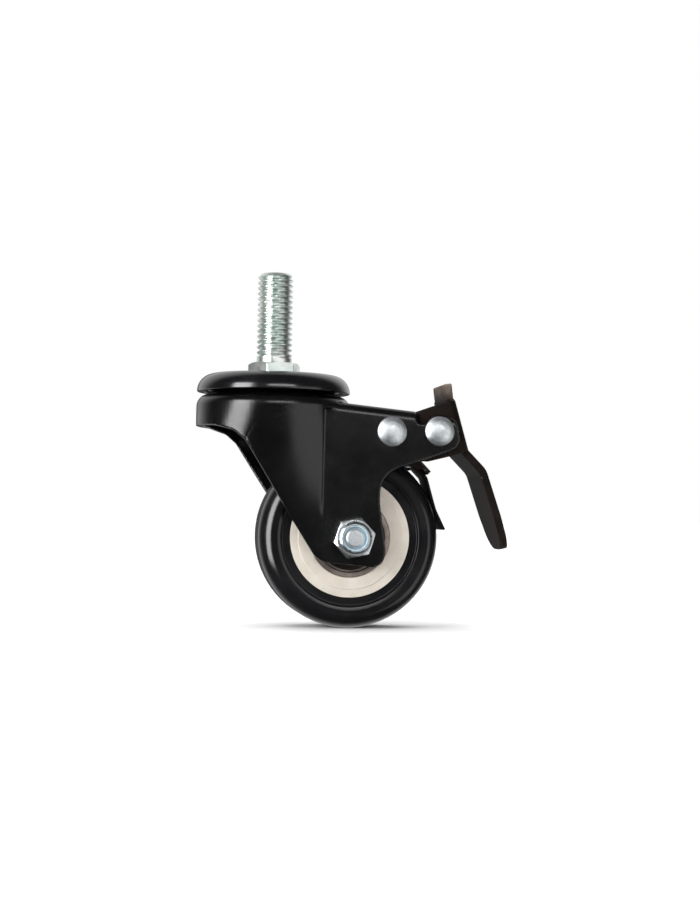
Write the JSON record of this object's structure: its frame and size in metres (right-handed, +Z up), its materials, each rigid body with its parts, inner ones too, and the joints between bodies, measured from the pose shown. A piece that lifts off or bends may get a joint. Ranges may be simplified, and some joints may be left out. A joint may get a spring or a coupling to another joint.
{
  "type": "braked swivel caster",
  "caption": "Swivel caster with a threaded stem, a ball-bearing wheel with a cream hub and black tyre, and a pressed-steel foot brake.",
  "frame": {"origin": "stem axis on the top face of the hexagonal collar", "axes": "+Z up along the stem; +X from the stem towards the axle and the brake pedal; the wheel turns about Y; -Y is the lock nut's side"},
  "size_m": [0.0878, 0.0428, 0.098],
  "materials": {
    "black_paint": "semi-gloss black",
    "zinc": "bright zinc plating",
    "steel": "ground steel",
    "bearing_steel": "dark polished steel",
    "cream_plastic": "cream, satin",
    "tyre": "glossy black polyurethane",
    "nylon": "pale nylon",
    "brake_paint": "black, thin at the edges"
  },
  "bodies": {
    "stem": {"threaded_stem": "zinc", "top_cap": "black_paint", "lower_race_cup": "zinc"},
    "upper_balls": {"upper_swivel_balls": "steel"},
    "lower_balls": {"lower_swivel_balls": "steel"},
    "fork": {"fork": "black_paint", "axle_bolt": "zinc", "axle_nut": "zinc", "nut_insert": "nylon", "axle_sleeve": "steel", "axle_spacers": "steel", "bearing_inner_ring_near": "steel", "bearing_inner_ring_far": "steel", "shoe_rivet": "zinc", "pedal_rivet": "zinc", "shoe_spacers": "steel"},
    "wheel": {"tread": "tyre", "hub": "cream_plastic", "bearing_outer_ring_near": "bearing_steel", "bearing_outer_ring_far": "bearing_steel", "bearing_shields_near": "bearing_steel", "bearing_shields_far": "bearing_steel"},
    "near_bearing_balls": {"bearing_balls_near": "steel", "bearing_cage_near": "bearing_steel"},
    "far_bearing_balls": {"bearing_balls_far": "steel", "bearing_cage_far": "bearing_steel"},
    "pedal": {"brake_pedal": "brake_paint"},
    "shoe": {"shoe_bracket": "brake_paint", "brake_strap": "brake_paint", "strap_rivets": "zinc"}
  },
  "joints": [
    {"name": "swivel", "type": "hinge", "parent": "stem", "child": "fork", "pos_m": [0, 0, 0], "axis": [0, 0, 1], "continuous": true},
    {"name": "upper_ball_orbit", "type": "hinge", "parent": "stem", "child": "upper_balls", "pos_m": [0, 0, 0], "axis": [0, 0, 1], "continuous": true},
    {"name": "lower_ball_orbit", "type": "hinge", "parent": "stem", "child": "lower_balls", "pos_m": [0, 0, 0], "axis": [0, 0, 1], "continuous": true},
    {"name": "wheel_spin", "type": "hinge", "parent": "fork", "child": "wheel", "pos_m": [0.021, 0, -0.048], "axis": [0, 1, 0], "continuous": true},
    {"name": "near_ball_orbit", "type": "hinge", "parent": "fork", "child": "near_bearing_balls", "pos_m": [0.021, 0, -0.048], "axis": [0, 1, 0], "continuous": true},
    {"name": "far_ball_orbit", "type": "hinge", "parent": "fork", "child": "far_bearing_balls", "pos_m": [0.021, 0, -0.048], "axis": [0, 1, 0], "continuous": true},
    {"name": "pedal_pivot", "type": "hinge", "parent": "fork", "child": "pedal", "pos_m": [0.0445, 0, -0.0185], "axis": [0, 1, 0], "range_deg": [0, 10]},
    {"name": "shoe_pivot", "type": "hinge", "parent": "fork", "child": "shoe", "pos_m": [0.0313, 0, -0.0189], "axis": [0, 1, 0], "range_deg": [0, 0.86]}
  ],
  "couplings": [
    {"joint": "upper_ball_orbit", "follows": "swivel", "ratio": 0.5},
    {"joint": "lower_ball_orbit", "follows": "swivel", "ratio": 0.5},
    {"joint": "near_ball_orbit", "follows": "wheel_spin", "ratio": 0.6303},
    {"joint": "far_ball_orbit", "follows": "wheel_spin", "ratio": 0.6303},
    {"joint": "shoe_pivot", "follows": "pedal_pivot", "ratio": 0.085}
  ]
}
